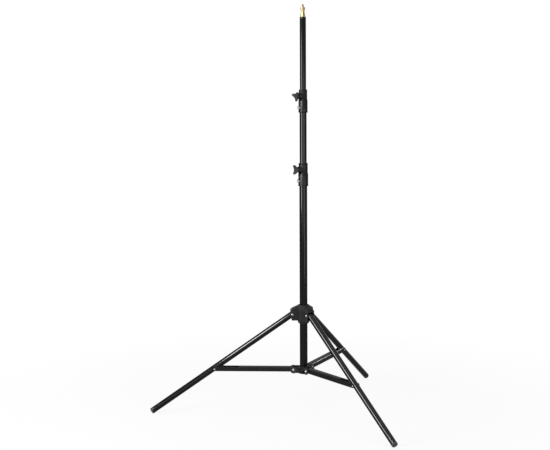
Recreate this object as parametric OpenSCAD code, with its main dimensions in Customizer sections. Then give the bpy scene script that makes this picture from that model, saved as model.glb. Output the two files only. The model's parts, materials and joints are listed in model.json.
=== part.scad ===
// Telescopic lighting stand: a three-section tube mast on a folding tripod base.
// Millimetres, +Z up. The mast axis is the Z axis and the feet stand on z = 0.

/* [Mast tubes] */
// Outside diameter of the top tube
top_d = 22; // [19:0.5:25]
// Wall of every mast tube
tube_wall = 1.2; // [1:0.1:1.6]
// Sliding gap on each side between a mast tube and the tube around it
tube_gap = 0.3; // [0.2:0.05:0.5]
// Length of the middle tube
mid_len = 730; // [600:5:760]
// Length of the top tube
top_len = 700; // [560:5:720]
// Length of middle tube showing between the two collars
mid_show = 181; // [80:1:400]
// Length of top tube showing above the upper collar
top_show = 252; // [80:1:400]

/* [Collars] */
// Wall of a collar around its tube
collar_wall = 3.6; // [3.2:0.1:5]
// Height of the half that grips the outer tube
collar_grip = 43; // [38:1:60]
// Height of the half that guides the inner tube
collar_guide = 37; // [32:1:50]
// How far an end lip stands out
lip_out = 0.9; // [0.4:0.1:2]
// Height of an end lip
lip_h = 3.4; // [2:0.2:5]
// Wall of the nylon guide bush
bush_wall = 1; // [0.8:0.1:1.5]
// Running gap between a tube and its guide bush
bush_gap = 0.1; // [0.05:0.05:0.2]
// Width of the clamping slit
slit_w = 1.6; // [1:0.1:2.5]
// Length of the clamping slit
slit_len = 34; // [30:1:36]
// Diameter of a clamp bolt
bolt_d = 5; // [4:0.5:6]
// Diameter of a clamp bolt's head
bolt_head_d = 10.6; // [9:0.2:11]
// Height of a clamp bolt's head
bolt_head_h = 3.4; // [2.5:0.1:4.5]
// Half the length of the lug that a clamp bolt runs through
lug_half = 8.8; // [8:0.1:11]
// Direction of the clamp lugs around the mast
clamp_az = 177; // [150:1:200]

/* [Locking knobs] */
// Radius of a knob over the tips of its three wings
knob_r = 19.5; // [16:0.5:22]
// Radius of a knob's neck
knob_neck_r = 9; // [7:0.1:9.5]
// Height of a knob along its axis
knob_h = 14.5; // [12:0.5:18]
// Half the width of a wing
wing_half = 5.2; // [4:0.1:6]
// Depth of the dished face between the wing tips
dish = 3.4; // [1.5:0.1:4]
// Diameter of a knob's threaded stud
stud_d = 6; // [5:0.5:7]
// Diameter of the brake shoe under a stud
shoe_d = 9; // [8:0.5:10]
// Thickness of a brake shoe
shoe_h = 2.8; // [2.2:0.1:3.4]
// How far a collar's knob boss stands out from the inner tube
boss_reach = 10.5; // [9:0.5:14]
// Direction of the collar knobs around the mast
knob_az = 215; // [200:1:240]
// Turn of the lower knob about its own axis
low_knob_turn = 90; // [0:1:120]
// Turn of the upper knob about its own axis
up_knob_turn = 15; // [0:1:120]

/* [Legs and braces] */
// Angle of an open leg from the upright
leg_angle = 55.45; // [50:0.05:58]
// Leg length from its pivot to the end of its foot
leg_len = 622; // [580:1:680]
// Outside diameter of a leg tube
leg_d = 22; // [19:0.5:25]
// Wall of a leg tube
leg_wall = 1.2; // [1:0.1:1.6]
// Distance of the leg pivots from the mast axis
pivot_r = 40.7; // [38:0.1:44]
// Distance along the leg from its pivot to the brace rivet
brace_at = 345; // [320:1:370]
// How far the brace rivet lies under the leg's centre line
rivet_under = 3; // [2.5:0.1:4]
// Height of the leg pivots above the brace pivots
hub_drop = 204; // [200:0.5:208]
// Sheet thickness of a brace
brace_sheet = 1.2; // [1:0.1:2]
// Depth of a brace below its pivot line
brace_below = 6.3; // [5.5:0.1:8]
// Length that the foot shows past its leg tube
foot_h = 8; // [6:0.5:14]
// Rounding of the foot's edge
foot_round = 3; // [1.5:0.5:4]
// Length of the foot's stem inside the tube
foot_stem = 16; // [10:1:30]

/* [Shoulder and hub] */
// Thickness of a shoulder ear beside the leg
ear_wall = 5.6; // [4:0.1:7]
// Distance of the hoods' outer ends from the mast axis
hood_end = 48.5; // [46:0.5:54]
// Height of the hoods' outer ends above the leg pivots
hood_top = 21.5; // [20:0.5:26]
// Slope of the hoods' roofs up to the neck
roof_slope = 27; // [15:1:32]
// Depth of the shoulder ears below the leg pivots
ear_drop = 21.5; // [16:0.5:26]
// Lean of the ears' outer ends
ear_lean = 16; // [0:1:25]
// Rounding of the hoods' corners, seen from above
hood_corner = 7; // [5:0.5:10]
// Height of the shoulder's neck above the leg pivots
neck_top = 34; // [30:0.5:40]
// Depth of the shoulder's skirt below the leg pivots
skirt_drop = 34; // [28:0.5:40]
// Radius of the shoulder's core
core_r = 24; // [22:0.5:25]
// Running gap between the shoulder and the lower tube
shoulder_gap = 0.2; // [0.1:0.05:0.3]
// Thickness of a hub ear beside the brace
hub_ear = 3.4; // [2.8:0.1:4]
// Radius of a hub ear's round end
hub_ear_r = 12.2; // [10:0.2:13]
// Thickness of the raised pad around a hub rivet
pad_h = 0.8; // [0.4:0.1:1.5]
// Radius of the hub's core
hub_r = 19; // [17.5:0.5:19.5]
// Thickness of the hub's floor
hub_floor = 5; // [4:0.5:8]
// Diameter of the leg pivot and hub rivets
pivot_d = 6; // [5:0.5:7]
// Diameter of the brace rivets through the legs
brace_rivet_d = 5; // [4:0.5:6]
// Head diameter of a rivet for each unit of its shank
head_share = 1.5; // [1.4:0.05:1.8]
// Head height of a rivet
head_h = 2.2; // [1.5:0.1:3]

/* [Spigot] */
// Diameter of the brass spigot
spigot_d = 15.9; // [15.8:0.05:16]
// Length of the spigot above the mast
spigot_len = 33.5; // [30:0.5:40]
// Waist diameter in the spigot's groove
waist_d = 12.6; // [11:0.1:14]
// Diameter of the threaded tip
tip_d = 6.35; // [6:0.05:9.5]
// Length of the threaded tip
tip_len = 10.5; // [8:0.5:14]
// Height of the socket's rim on the top tube
rim_h = 3; // [2:0.5:6]
// Diameter of the pin through the socket
spigot_pin_d = 4; // [3:0.5:5]

/* [Hidden] */
$fn = 96;

// Clearances
fit = 0.05;
leg_side_gap = 0.4;
brace_side_gap = 0.5;
hub_side_gap = 0.3;
leg_turn_gap = 0.6;
nest_gap = 0.5;
knob_gap = 0.5;
stud_gap = 0.1;
fold_gap = 4.4;
eps = 0.01;
past = 1;

// Directions of the three legs around the mast
left_az = 180;
front_az = -60;
rear_az = 60;
leg_azimuths = [left_az, front_az, rear_az];
// The shoulder's own knob sits in the gap between the left and rear legs
base_knob_az = (left_az + rear_az) / 2;
base_knob_turn = 60;

// Tube radii, each tube sliding in the next
top_r = top_d / 2;
mid_r = top_r + tube_gap + tube_wall;
low_r = mid_r + tube_gap + tube_wall;
leg_r = leg_d / 2;

// Side geometry of one leg and brace, with r outwards from the mast
pivot_z = (leg_len - foot_round) * cos(leg_angle) + (leg_r - foot_round) * sin(leg_angle) + foot_round;
hub_z = pivot_z - hub_drop;
hub_pivot_r = pivot_r - rivet_under;
rivet_pos_r = pivot_r + brace_at * sin(leg_angle) - rivet_under * cos(leg_angle);
rivet_pos_z = pivot_z - brace_at * cos(leg_angle) - rivet_under * sin(leg_angle);
brace_len = norm([rivet_pos_r - hub_pivot_r, rivet_pos_z - hub_z]);
brace_rise = asin((rivet_pos_z - hub_z) / brace_len);

// Brace section
brace_inner_half = leg_r + brace_side_gap;
brace_half = brace_inner_half + brace_sheet;
brace_above = leg_r - rivet_under + nest_gap + brace_sheet;
brace_end_r = (brace_above + brace_below) / 2;
brace_mid = (brace_above - brace_below) / 2;

// A leg and its brace each turn at a steady rate while the shoulder slides up, so part way through
// the fold the leg crosses the brace short of the rivet. The web stops before the nearest crossing.
fold_travel = brace_len + brace_at - hub_drop;
fold_steps = 20;
web_cut = brace_len - min([for (step = [0:fold_steps - 1]) crossing(step / fold_steps)]) + past;

// Distance from the hub pivot to where a leg's near edge meets the web, at a share of the fold
function crossing(share) =
    let (
        leg_turn = (1 - share) * leg_angle,
        brace_turn = (1 - share) * (90 - brace_rise),
        out = rivet_under + brace_at * sin(leg_turn),
        up = hub_drop + share * fold_travel - brace_at * cos(leg_turn),
        along = out * sin(brace_turn) + up * cos(brace_turn),
        above = up * sin(brace_turn) - out * cos(brace_turn),
        angle = leg_turn + brace_turn
    )
    along - leg_r / sin(angle)
        + min([for (level = [brace_above, brace_above - brace_sheet]) (level - above) / tan(angle)]);

// Shoulder
slot_half = leg_r + leg_side_gap;
lobe_half_w = slot_half + ear_wall;
leg_top = 8;
plug_head = 3;
plug_round = 2.5;
plug_stem = 18;
cavity_gap = 1;
cavity_r = norm([leg_top, leg_r]) + cavity_gap;
reach_far = 120;
ear_lean_from = 3;
hood_shoulder = 10;
hood_break = 25;
crown = 7.5;
neck_taper = 3.5;
neck_start = 19;
skirt_taper = 5.5;
skirt_start = 21;
base_boss_reach = 16;
boss_r_in = 13.5;
boss_r_out = 10;

// Hub
hub_slot_half = brace_half + hub_side_gap;
hub_half = hub_slot_half + hub_ear;
hub_bar_step = 1.2;
hub_bar_half = hub_ear_r - hub_bar_step;
hub_above = 12;
hub_below = 10;
screw_head_d = 10;
screw_head_h = 3;
screw_d = 5;
mast_plug_h = 20;

// Heights up the mast
low_len = hub_below + brace_len + brace_at + neck_top + fold_gap + collar_grip;
low_z0 = hub_z - hub_below;
low_z1 = low_z0 + low_len;
mid_z1 = low_z1 + collar_guide + mid_show + collar_grip;
mid_z0 = mid_z1 - mid_len;
top_z1 = mid_z1 + collar_guide + top_show;
top_z0 = top_z1 - top_len;
spigot_z = top_z1 + rim_h;
guide_flange = 8;
guide_stem = 15;

// Collar details, measured from the step between its two halves
collar_step = 3;
collar_mouth = 2.5;
knob_up = 15.5;
clamp_down = 25.5;
bolt_out = 1.2;
lug_r = 5;
nut_r = 4.6;
nut_h = 4;
pocket_gap = 0.35;
socket_d = 4;
socket_deep = 2;

// Knob details
knob_neck_h = 4;
knob_flare = 8.5;
knob_edge = 2;
knob_core_r = 10;
stud_deep = 9;

// Spigot details
spigot_land = 10;
spigot_head = 8.5;
spigot_taper = 2;
spigot_chamfer = 1;
tip_chamfer = 0.8;
spigot_stem_d = 12;
spigot_stem = 20;
socket_stem = 26;
pin_down = 12;

// Places

// Turns its children to a leg, with +X outwards along the floor
module at_leg(az) {
    rotate([0, 0, az]) children();
}

// Puts its children on an open leg, with +Z down the leg and +X towards its underside
module on_leg(az) {
    at_leg(az) translate([pivot_r, 0, pivot_z]) rotate([0, 180 - leg_angle, 0]) children();
}

// Puts its children on a brace, with +X from the hub pivot to the leg and +Z on the web's side
module on_brace(az) {
    at_leg(az) translate([hub_pivot_r, 0, hub_z]) rotate([0, -brace_rise, 0]) children();
}

// Points its children outwards from the mast axis, with +Z outwards
module outwards(az, z) {
    translate([0, 0, z]) rotate([0, 0, az]) rotate([0, 90, 0]) children();
}

// Puts its children on a clamp bolt's axis, with +Z towards the bolt's head
module on_bolt(grip_r, z) {
    rotate([0, 0, clamp_az])
        translate([bolt_line(grip_r), 0, z - clamp_down]) rotate([-90, 0, 0]) children();
}

function bolt_line(grip_r) = grip_r + bolt_d / 2 + bolt_out;

// Shapes that repeat

module tube(radius, wall, z0, z1) {
    translate([0, 0, z0]) difference() {
        cylinder(r = radius, h = z1 - z0);
        translate([0, 0, -past]) cylinder(r = radius - wall, h = z1 - z0 + 2 * past);
    }
}

// Domed head standing on z = 0
module dome(radius, height) {
    ball = (radius * radius + height * height) / (2 * height);
    rotate_extrude() intersection() {
        translate([0, height - ball]) circle(ball);
        square([radius, height]);
    }
}

// Rivet along Y through a stack of the given half width, with a head at each end
module through_rivet(diameter, half) {
    rotate([90, 0, 0]) {
        cylinder(d = diameter, h = 2 * half, center = true);
        for (side = [0, 180])
            rotate([side, 0, 0]) translate([0, 0, half]) dome(diameter * head_share / 2, head_h);
    }
}

// Plug for a tube end: a stem inside the bore and a rounded head of the tube's own diameter
module end_plug(radius, wall, stem, head, rounding) {
    translate([0, 0, -stem]) cylinder(r = radius - wall - fit, h = stem + eps);
    rotate_extrude() {
        square([radius - rounding, head]);
        square([radius, head - rounding]);
        translate([radius - rounding, head - rounding]) intersection() {
            circle(rounding);
            square(rounding);
        }
    }
}

// Collar between the tube that it grips, below z = 0, and the tube that it guides, above
module collar(grip_r, pass_r) {
    low = grip_r + collar_wall;
    up = pass_r + collar_wall;
    difference() {
        union() {
            rotate_extrude() {
                translate([0, -collar_grip]) square([low, collar_grip]);
                polygon([[0, 0], [low, 0], [up, collar_step], [0, collar_step]]);
                square([up, collar_guide]);
                translate([0, -collar_grip]) lip(low);
                translate([0, collar_guide - lip_h]) lip(up);
            }
            outwards(knob_az, knob_up) translate([0, 0, pass_r + bush_wall])
                cylinder(r1 = boss_r_in, r2 = boss_r_out, h = boss_reach - bush_wall);
            on_bolt(grip_r, 0) cylinder(r = lug_r, h = 2 * lug_half, center = true);
        }
        translate([0, 0, -collar_grip - past]) cylinder(r = grip_r + fit, h = collar_grip + past);
        translate([0, 0, -eps])
            cylinder(r = pass_r + bush_gap + bush_wall + fit, h = collar_guide - collar_mouth + eps);
        cylinder(r = pass_r + tube_gap, h = collar_guide + past);
        outwards(knob_az, knob_up) knob_bores(pass_r, boss_reach);
        rotate([0, 0, clamp_az]) translate([0, -slit_w / 2, -collar_grip - past])
            cube([grip_r + collar_wall + lug_r + bolt_d, slit_w, slit_len + past]);
        on_bolt(grip_r, 0) {
            cylinder(d = bolt_d + 2 * fit, h = 4 * lug_half, center = true);
            translate([0, 0, lug_half]) cylinder(d = bolt_head_d + 2 * pocket_gap, h = low);
            rotate([180, 0, 0]) translate([0, 0, lug_half]) cylinder(r = nut_r + pocket_gap, h = low);
        }
    }
}

// Half section of an end lip with a round edge
module lip(radius) {
    square([radius + lip_out - lip_h / 2, lip_h]);
    translate([radius + lip_out - lip_h / 2, lip_h / 2]) circle(d = lip_h);
}

// Brake shoe pocket and stud hole, along +Z from the mast axis
module knob_bores(pass_r, reach) {
    cylinder(d = shoe_d + 2 * fit, h = pass_r + shoe_h + fit);
    cylinder(d = stud_d + 2 * stud_gap, h = pass_r + reach + past);
}

module guide_bush(pass_r) {
    difference() {
        tube(pass_r + bush_gap + bush_wall, bush_wall, 0, collar_guide - collar_mouth - fit);
        outwards(knob_az, knob_up) cylinder(d = shoe_d + 2 * fit, h = 2 * pass_r);
    }
}

// Brake shoe with its face hollowed to the tube that it presses on
module brake_shoe(pass_r, az, up) {
    difference() {
        outwards(az, up) cylinder(d = shoe_d, h = pass_r + shoe_h);
        cylinder(r = pass_r + bush_gap, h = 4 * collar_guide, center = true);
    }
}

module clamp_bolt(grip_r) {
    on_bolt(grip_r, 0) difference() {
        union() {
            translate([0, 0, -lug_half - nut_h]) cylinder(d = bolt_d, h = 2 * lug_half + nut_h + eps);
            translate([0, 0, lug_half]) dome_head(bolt_head_d / 2, bolt_head_h);
        }
        translate([0, 0, lug_half + bolt_head_h - socket_deep])
            cylinder(d = socket_d, h = socket_deep + past, $fn = 6);
    }
}

// Bolt head with a straight rim and a rounded top edge
module dome_head(radius, height) {
    rotate_extrude() {
        square([radius, height / 2]);
        square([radius - height / 2, height]);
        translate([radius - height / 2, height / 2]) intersection() {
            circle(height / 2);
            square(height / 2);
        }
    }
}

module clamp_nut(grip_r) {
    on_bolt(grip_r, 0) translate([0, 0, -lug_half - nut_h]) difference() {
        cylinder(r = nut_r, h = nut_h, $fn = 6);
        translate([0, 0, -past]) cylinder(d = bolt_d, h = nut_h + 2 * past);
    }
}

// Three-winged knob on z = 0, flared towards a dished face
module knob(turn) {
    rim_r = knob_r - knob_edge;
    ball = (rim_r * rim_r + dish * dish) / (2 * dish);
    difference() {
        intersection() {
            rotate_extrude() difference() {
                polygon([
                    [0, 0], [knob_neck_r, 0], [knob_neck_r, knob_neck_h], [rim_r, knob_flare],
                    [knob_r, knob_flare + knob_edge], [knob_r, knob_h - knob_edge],
                    [rim_r, knob_h], [0, knob_h]
                ]);
                translate([0, knob_h - dish + ball]) circle(ball);
            }
            rotate([0, 0, turn]) linear_extrude(knob_h) knob_plan();
        }
        translate([0, 0, -past]) cylinder(d = stud_d, h = stud_deep + past);
    }
}

module knob_plan() {
    circle(knob_core_r);
    for (wing = [0:2]) rotate(120 * wing) {
        translate([0, -wing_half]) square([knob_r - wing_half, 2 * wing_half]);
        translate([knob_r - wing_half, 0]) circle(wing_half);
    }
}

module knob_at(pass_r, reach, az, up, turn) {
    outwards(az, up) translate([0, 0, pass_r + reach + knob_gap]) knob(turn);
}

module knob_stud(pass_r, reach, az, up) {
    outwards(az, up) translate([0, 0, pass_r + shoe_h + fit])
        cylinder(d = stud_d, h = reach + knob_gap + stud_deep - shoe_h - fit);
}

// Guide at the foot of a sliding tube, with a flange that runs in the tube around it
module tube_guide(radius, z) {
    translate([0, 0, z - guide_flange])
        tube(radius + tube_gap - bush_gap, tube_wall + 2 * tube_gap, 0, guide_flange);
    tube(radius - tube_wall - fit, tube_wall, z - eps, z + guide_stem);
}

// Mast, from the bottom up

module lower_tube() {
    color("#1c1c1e") tube(low_r, tube_wall, low_z0, low_z1);
}

module mast_plug() {
    color("#2a2a2a") translate([0, 0, low_z0]) difference() {
        cylinder(r = low_r - tube_wall - fit, h = mast_plug_h);
        translate([0, 0, -past]) cylinder(d = screw_d, h = mast_plug_h);
    }
}

module hub_screw() {
    color("silver") translate([0, 0, low_z0 - hub_floor]) {
        dome_head_down();
        translate([0, 0, screw_head_h - eps])
            cylinder(d = screw_d, h = hub_floor - screw_head_h + mast_plug_h - past - fit);
    }
}

module dome_head_down() {
    difference() {
        translate([0, 0, screw_head_h]) mirror([0, 0, 1]) dome_head(screw_head_d / 2, screw_head_h);
        translate([0, 0, -past]) cylinder(d = socket_d, h = socket_deep + past, $fn = 6);
    }
}

// Three pairs of ears on a core that the lower tube stands in
module brace_hub() {
    color("#242426") difference() {
        union() {
            translate([0, 0, low_z0 - hub_floor])
                cylinder(r = hub_r, h = hub_floor + hub_below + hub_above);
            for (az = leg_azimuths) at_leg(az) hub_arm();
        }
        translate([0, 0, low_z0]) cylinder(r = low_r + fit, h = hub_below + hub_above + past);
        translate([0, 0, low_z0 - hub_floor - past]) {
            cylinder(d = screw_d + 2 * fit, h = hub_floor + 2 * past);
            cylinder(d = screw_head_d + 2 * stud_gap, h = screw_head_h + past);
        }
        for (az = leg_azimuths) at_leg(az) translate([hub_pivot_r, 0, hub_z]) rotate([90, 0, 0])
            cylinder(d = pivot_d, h = 4 * hub_half, center = true);
    }
}

module hub_arm() {
    difference() {
        translate([0, 0, hub_z]) rotate([90, 0, 0]) {
            linear_extrude(2 * hub_half, center = true) {
                translate([0, -hub_bar_half]) square([hub_pivot_r, 2 * hub_bar_half]);
                translate([hub_pivot_r, 0]) circle(hub_ear_r);
            }
            translate([hub_pivot_r, 0, 0])
                cylinder(r = hub_ear_r - pad_h, h = 2 * (hub_half + pad_h), center = true);
        }
        translate([0, -hub_slot_half, hub_z - 2 * hub_ear_r])
            cube([2 * hub_pivot_r, 2 * hub_slot_half, 4 * hub_ear_r]);
    }
}

module hub_rivets() {
    color("silver") for (az = leg_azimuths) at_leg(az) translate([hub_pivot_r, 0, hub_z])
        through_rivet(pivot_d, hub_half + pad_h);
}

module lower_collar() {
    color("#2b2b2d") translate([0, 0, low_z1]) collar(low_r, mid_r);
}

module lower_bush() {
    color("#d8d8d0") translate([0, 0, low_z1]) guide_bush(mid_r);
}

module lower_clamp_bolt() {
    color("silver") translate([0, 0, low_z1]) clamp_bolt(low_r);
}

module lower_clamp_nut() {
    color("silver") translate([0, 0, low_z1]) clamp_nut(low_r);
}

module lower_brake_shoe() {
    color("#d8d8d0") translate([0, 0, low_z1]) brake_shoe(mid_r, knob_az, knob_up);
}

module lower_knob() {
    color("#1a1a1a") knob_at(mid_r, boss_reach, knob_az, low_z1 + knob_up, low_knob_turn);
}

module lower_knob_stud() {
    color("silver") knob_stud(mid_r, boss_reach, knob_az, low_z1 + knob_up);
}

module middle_tube() {
    color("#1c1c1e") tube(mid_r, tube_wall, mid_z0, mid_z1);
}

module middle_tube_guide() {
    color("#d8d8d0") tube_guide(mid_r, mid_z0);
}

module upper_collar() {
    color("#2b2b2d") translate([0, 0, mid_z1]) collar(mid_r, top_r);
}

module upper_bush() {
    color("#d8d8d0") translate([0, 0, mid_z1]) guide_bush(top_r);
}

module upper_clamp_bolt() {
    color("silver") translate([0, 0, mid_z1]) clamp_bolt(mid_r);
}

module upper_clamp_nut() {
    color("silver") translate([0, 0, mid_z1]) clamp_nut(mid_r);
}

module upper_brake_shoe() {
    color("#d8d8d0") translate([0, 0, mid_z1]) brake_shoe(top_r, knob_az, knob_up);
}

module upper_knob() {
    color("#1a1a1a") knob_at(top_r, boss_reach, knob_az, mid_z1 + knob_up, up_knob_turn);
}

module upper_knob_stud() {
    color("silver") knob_stud(top_r, boss_reach, knob_az, mid_z1 + knob_up);
}

module top_tube() {
    color("#1c1c1e") difference() {
        tube(top_r, tube_wall, top_z0, top_z1);
        spigot_pin_hole();
    }
}

module top_tube_guide() {
    color("#d8d8d0") tube_guide(top_r, top_z0);
}

module spigot_pin_hole() {
    translate([0, 0, top_z1 - pin_down]) rotate([90, 0, 0])
        cylinder(d = spigot_pin_d, h = 2 * top_d, center = true);
}

// Plug that closes the top tube and holds the spigot's stem
module spigot_socket() {
    color("#242426") difference() {
        union() {
            translate([0, 0, top_z1 - socket_stem])
                cylinder(r = top_r - tube_wall - fit, h = socket_stem + eps);
            translate([0, 0, top_z1]) cylinder(r = top_r, h = rim_h);
        }
        translate([0, 0, spigot_z - spigot_stem - fit])
            cylinder(d = spigot_stem_d + 2 * fit, h = spigot_stem + fit + past);
        spigot_pin_hole();
    }
}

// Brass spigot: two lands with a waist between them, a threaded tip above and a stem below
module spigot() {
    land = spigot_d / 2;
    waist = waist_d / 2;
    top = spigot_len - spigot_head;
    color("#c9a04a") difference() {
        translate([0, 0, spigot_z]) {
            translate([0, 0, -spigot_stem]) cylinder(d = spigot_stem_d, h = spigot_stem + eps);
            rotate_extrude() polygon([
                [0, 0], [land, 0], [land, spigot_land], [waist, spigot_land + spigot_taper],
                [waist, top - spigot_taper], [land, top], [land, spigot_len - spigot_chamfer],
                [land - spigot_chamfer, spigot_len], [0, spigot_len]
            ]);
            translate([0, 0, spigot_len - eps]) {
                cylinder(d = tip_d, h = tip_len - tip_chamfer + eps);
                translate([0, 0, tip_len - tip_chamfer + eps])
                    cylinder(d1 = tip_d, d2 = tip_d - 2 * tip_chamfer, h = tip_chamfer);
            }
        }
        spigot_pin_hole();
    }
}

module spigot_pin() {
    color("#242426") translate([0, 0, top_z1 - pin_down]) rotate([90, 0, 0])
        cylinder(d = spigot_pin_d, h = top_d - tube_gap, center = true);
}

// Shoulder that slides on the lower tube

// Plan of a hood: a straight box with round corners at its outer end
module hood_plan() {
    corner_y = lobe_half_w - hood_corner;
    translate([0, -lobe_half_w]) square([hood_end - hood_corner, 2 * lobe_half_w]);
    translate([0, -corner_y]) square([hood_end, 2 * corner_y]);
    for (side = [-1, 1]) translate([hood_end - hood_corner, side * corner_y]) circle(hood_corner);
}

// Side of a hood: a leaning outer end, a crown and a roof that slopes up to the neck
module hood_side() {
    lean_in = (ear_drop - ear_lean_from) * tan(ear_lean);
    roof_rise = neck_top - past - hood_top;
    polygon([
        [0, -ear_drop], [hood_end - lean_in, -ear_drop],
        [hood_end + past, past / tan(ear_lean) - ear_lean_from], [hood_end + past, hood_top - crown],
        [hood_end - crown, hood_top], [hood_end - crown - roof_rise / tan(roof_slope), neck_top - past],
        [0, neck_top - past]
    ]);
}

// Section across a hood, with both sides leaning in above the shoulders
module hood_section() {
    polygon([
        [-lobe_half_w - past, -ear_drop - past], [lobe_half_w + past, -ear_drop - past],
        [lobe_half_w + past, hood_shoulder], [lobe_half_w - crown / 2, hood_break],
        [lobe_half_w - crown, neck_top], [crown - lobe_half_w, neck_top],
        [crown / 2 - lobe_half_w, hood_break], [-lobe_half_w - past, hood_shoulder]
    ]);
}

module hood() {
    intersection() {
        translate([0, 0, -ear_drop - past]) linear_extrude(ear_drop + neck_top + past) hood_plan();
        rotate([90, 0, 0]) linear_extrude(4 * lobe_half_w, center = true) hood_side();
        rotate([90, 0, 90]) linear_extrude(2 * hood_end, center = true) hood_section();
    }
}

// Room that one leg needs as it swings from upright to open
module leg_room() {
    reach = leg_r + leg_turn_gap;
    outer = [
        reach * cos(leg_angle) + reach_far * sin(leg_angle),
        reach * sin(leg_angle) - reach_far * cos(leg_angle)
    ];
    rotate([90, 0, 0]) linear_extrude(2 * slot_half, center = true) {
        circle(cavity_r);
        polygon([
            [-reach, 0], [-reach, -reach_far], [outer[0], -reach_far], outer,
            [reach * cos(leg_angle), reach * sin(leg_angle)]
        ]);
    }
}

module shoulder() {
    color("#2b2b2d") translate([0, 0, pivot_z]) difference() {
        union() {
            rotate_extrude() polygon([
                [0, -skirt_drop], [core_r - skirt_taper, -skirt_drop], [core_r, -skirt_start],
                [core_r, neck_start], [core_r - neck_taper, neck_top], [0, neck_top]
            ]);
            for (az = leg_azimuths) at_leg(az) hood();
            outwards(base_knob_az, 0) translate([0, 0, low_r + shoe_h])
                cylinder(r1 = boss_r_in, r2 = boss_r_out, h = base_boss_reach - shoe_h);
        }
        translate([0, 0, -skirt_drop - past])
            cylinder(r = low_r + shoulder_gap, h = skirt_drop + neck_top + 2 * past);
        for (az = leg_azimuths) at_leg(az) translate([pivot_r, 0, 0]) {
            leg_room();
            rotate([90, 0, 0]) cylinder(d = pivot_d, h = 4 * lobe_half_w, center = true);
        }
        outwards(base_knob_az, 0) knob_bores(low_r, base_boss_reach);
    }
}

module leg_rivets() {
    color("silver") for (az = leg_azimuths) at_leg(az) translate([pivot_r, 0, pivot_z])
        through_rivet(pivot_d, lobe_half_w);
}

module base_brake_shoe() {
    color("#d8d8d0") translate([0, 0, pivot_z]) brake_shoe(low_r, base_knob_az, 0);
}

module base_knob() {
    color("#1a1a1a") knob_at(low_r, base_boss_reach, base_knob_az, pivot_z, base_knob_turn);
}

module base_knob_stud() {
    color("silver") knob_stud(low_r, base_boss_reach, base_knob_az, pivot_z);
}

// Legs and braces

module leg_tube(az) {
    color("#1c1c1e") on_leg(az) difference() {
        tube(leg_r, leg_wall, -leg_top, leg_len - foot_h);
        leg_pivot_hole();
        translate([rivet_under, 0, brace_at]) rotate([90, 0, 0])
            cylinder(d = brace_rivet_d + 2 * fit, h = 2 * leg_d, center = true);
    }
}

module leg_pivot_hole() {
    rotate([90, 0, 0]) cylinder(d = pivot_d + 2 * fit, h = 2 * leg_d, center = true);
}

module leg_plug(az) {
    color("#2a2a2a") on_leg(az) difference() {
        translate([0, 0, -leg_top]) mirror([0, 0, 1])
            end_plug(leg_r, leg_wall, leg_top + plug_stem, plug_head, plug_round);
        leg_pivot_hole();
    }
}

module leg_foot(az) {
    color("#161616") on_leg(az) translate([0, 0, leg_len - foot_h])
        end_plug(leg_r, leg_wall, foot_stem, foot_h, foot_round);
}

// One short rivet in each side of a brace, with its head outside
module brace_rivet(az) {
    color("silver") on_brace(az) for (side = [90, -90])
        translate([brace_len, 0, 0]) rotate([side, 0, 0]) translate([0, 0, brace_inner_half]) {
            cylinder(d = brace_rivet_d, h = brace_sheet + eps);
            translate([0, 0, brace_sheet]) dome(brace_rivet_d * head_share / 2, head_h);
        }
}

// Side outline of a brace, with round ends
module brace_outline() {
    translate([0, -brace_below]) square([brace_len, brace_above + brace_below]);
    for (end = [0, brace_len]) translate([end, brace_mid]) circle(brace_end_r);
}

// Channel of folded sheet, open below, whose sides straddle the leg
module brace(az) {
    color("#1f1f21") on_brace(az) difference() {
        union() {
            difference() {
                rotate([90, 0, 0]) linear_extrude(2 * brace_half, center = true) brace_outline();
                translate([-brace_len, -brace_inner_half, -2 * brace_above])
                    cube([3 * brace_len, 2 * brace_inner_half, 4 * brace_above]);
            }
            translate([0, -brace_half, brace_above - brace_sheet])
                cube([brace_len - web_cut, 2 * brace_half, brace_sheet]);
        }
        rotate([90, 0, 0]) cylinder(d = pivot_d + 2 * fit, h = 4 * brace_half, center = true);
        translate([brace_len, 0, 0]) rotate([90, 0, 0])
            cylinder(d = brace_rivet_d, h = 4 * brace_half, center = true);
    }
}

lower_tube();
mast_plug();
brace_hub();
hub_screw();
hub_rivets();
lower_collar();
lower_bush();
lower_clamp_bolt();
lower_clamp_nut();
lower_brake_shoe();
lower_knob();
lower_knob_stud();
middle_tube();
middle_tube_guide();
upper_collar();
upper_bush();
upper_clamp_bolt();
upper_clamp_nut();
upper_brake_shoe();
upper_knob();
upper_knob_stud();
top_tube();
top_tube_guide();
spigot_socket();
spigot();
spigot_pin();
shoulder();
leg_rivets();
base_brake_shoe();
base_knob();
base_knob_stud();
leg_tube(left_az);  // left_leg_tube
leg_plug(left_az);  // left_leg_plug
leg_foot(left_az);  // left_leg_foot
brace_rivet(left_az);  // left_brace_rivet
brace(left_az);  // left_brace
leg_tube(front_az);  // front_leg_tube
leg_plug(front_az);  // front_leg_plug
leg_foot(front_az);  // front_leg_foot
brace_rivet(front_az);  // front_brace_rivet
brace(front_az);  // front_brace
leg_tube(rear_az);  // rear_leg_tube
leg_plug(rear_az);  // rear_leg_plug
leg_foot(rear_az);  // rear_leg_foot
brace_rivet(rear_az);  // rear_brace_rivet
brace(rear_az);  // rear_brace
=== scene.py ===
# %% [markdown]
# # A telescopic lighting stand
#
# The stand is three black tubes that slide in one another, two clamp collars with winged knobs, a brass
# spigot on top, and a folding base of three legs with braces. Its sizes and moving parts come from the
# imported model, so this lesson only gives each piece its finish and its finer shape. Everything is in
# metres, with +Z up and the mast on the Z axis.

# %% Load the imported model
import json
import math

import bmesh
import bpy
import numpy as np
from mathutils import Matrix, Vector


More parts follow.
